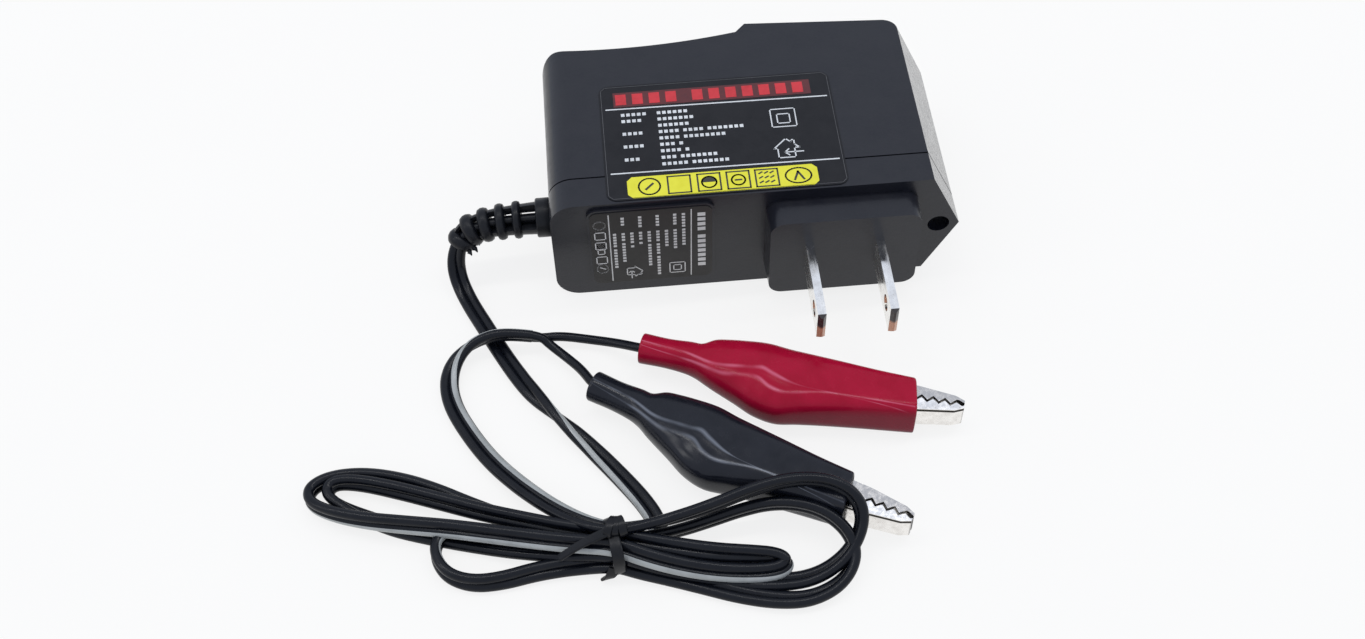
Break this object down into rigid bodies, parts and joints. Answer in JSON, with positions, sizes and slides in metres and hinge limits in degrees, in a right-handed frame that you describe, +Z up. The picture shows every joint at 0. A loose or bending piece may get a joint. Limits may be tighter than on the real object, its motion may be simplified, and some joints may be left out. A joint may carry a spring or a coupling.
{
  "type": "plug-in battery charger with clip leads",
  "caption": "Plug-in lead-acid battery charger with a flat-blade wall plug, a strain-relieved twin cord tied in a hank, and booted alligator clips.",
  "frame": {"origin": "bottom centre of the charger's box as it lies on a table, blades included, without the cord, its strain relief, the hank and the clips", "axes": "+X along the case towards its pointed end, +Y from the wall face towards the room, +Z up through the case's thickness; the blades point to -Y"},
  "size_m": [0.1203, 0.113, 0.0244],
  "materials": {
    "case_plastic": "fine satin, moulded black ABS",
    "screw_steel": "blackened steel",
    "blade_brass": "nickel-plated brass, bare brass at the tips",
    "carrier_plastic": "moulded, matt",
    "label_film": "printed film, satin gloss",
    "board_laminate": "paper laminate, matt",
    "ferrite": "matt ferrite",
    "bobbin_plastic": "moulded, matt",
    "winding_tape": "polyester tape",
    "capacitor_sleeve": "shrink sleeve",
    "resistor_body": "lacquered",
    "diode_body": "moulded resin",
    "disc_ceramic": "dipped ceramic",
    "chip_resin": "moulded resin",
    "lamp_resin": "milky diffusing resin",
    "wire_pvc": "PVC insulation",
    "relief_rubber": "soft moulded PVC",
    "tie_plastic": "soft plastic strap",
    "cord_pvc": "PVC, satin",
    "red_pvc": "soft dip-moulded PVC, glossy",
    "black_pvc": "soft dip-moulded PVC, glossy",
    "jaw_steel": "nickel-plated pressed steel",
    "pin_steel": "bright steel",
    "spring_steel": "spring wire"
  },
  "bodies": {
    "root": {"black_boot": "black_pvc", "black_fixed_jaw": "jaw_steel", "black_lead": "cord_pvc", "black_pivot_pin": "pin_steel", "black_spring": "spring_steel", "blade_carrier": "carrier_plastic", "case_screw": "screw_steel", "circuit_board": "board_laminate", "control_chip": "chip_resin", "cord_hank": "cord_pvc", "cord_lead": "cord_pvc", "cord_loop": "cord_pvc", "front_case": "case_plastic", "fusible_resistor": "resistor_body", "hank_tie": "tie_plastic", "input_capacitors": "capacitor_sleeve", "input_wires": "wire_pvc", "led_lamp": "lamp_resin", "left_blade": "blade_brass", "main_label": "label_film", "optocoupler": "chip_resin", "output_capacitor": "capacitor_sleeve", "output_diode": "diode_body", "output_wires": "wire_pvc", "rating_label": "label_film", "rear_case": "case_plastic", "rectifier_diodes": "diode_body", "red_boot": "red_pvc", "red_fixed_jaw": "jaw_steel", "red_lead": "cord_pvc", "red_pivot_pin": "pin_steel", "red_spring": "spring_steel", "right_blade": "blade_brass", "safety_capacitor": "disc_ceramic", "strain_relief": "relief_rubber", "transformer_bobbin": "bobbin_plastic", "transformer_core": "ferrite", "transformer_winding": "winding_tape"},
    "red_jaw": {"red_moving_jaw": "jaw_steel"},
    "black_jaw": {"black_moving_jaw": "jaw_steel"}
  },
  "joints": [
    {"name": "red_jaw_hinge", "type": "hinge", "parent": "root", "child": "red_jaw", "pos_m": [0.01116, -0.04125, 0.00435], "axis": [0, 0, 1], "range_deg": [0, 25], "stiffness_Nm_per_rad": 0.05, "springref_deg": -34.38, "deforming": ["red_spring", "red_boot"]},
    {"name": "black_jaw_hinge", "type": "hinge", "parent": "root", "child": "black_jaw", "pos_m": [0.0005, -0.0577, 0.00435], "axis": [0, 0, 1], "range_deg": [0, 25], "stiffness_Nm_per_rad": 0.05, "springref_deg": -34.38, "deforming": ["black_spring", "black_boot"]}
  ]
}
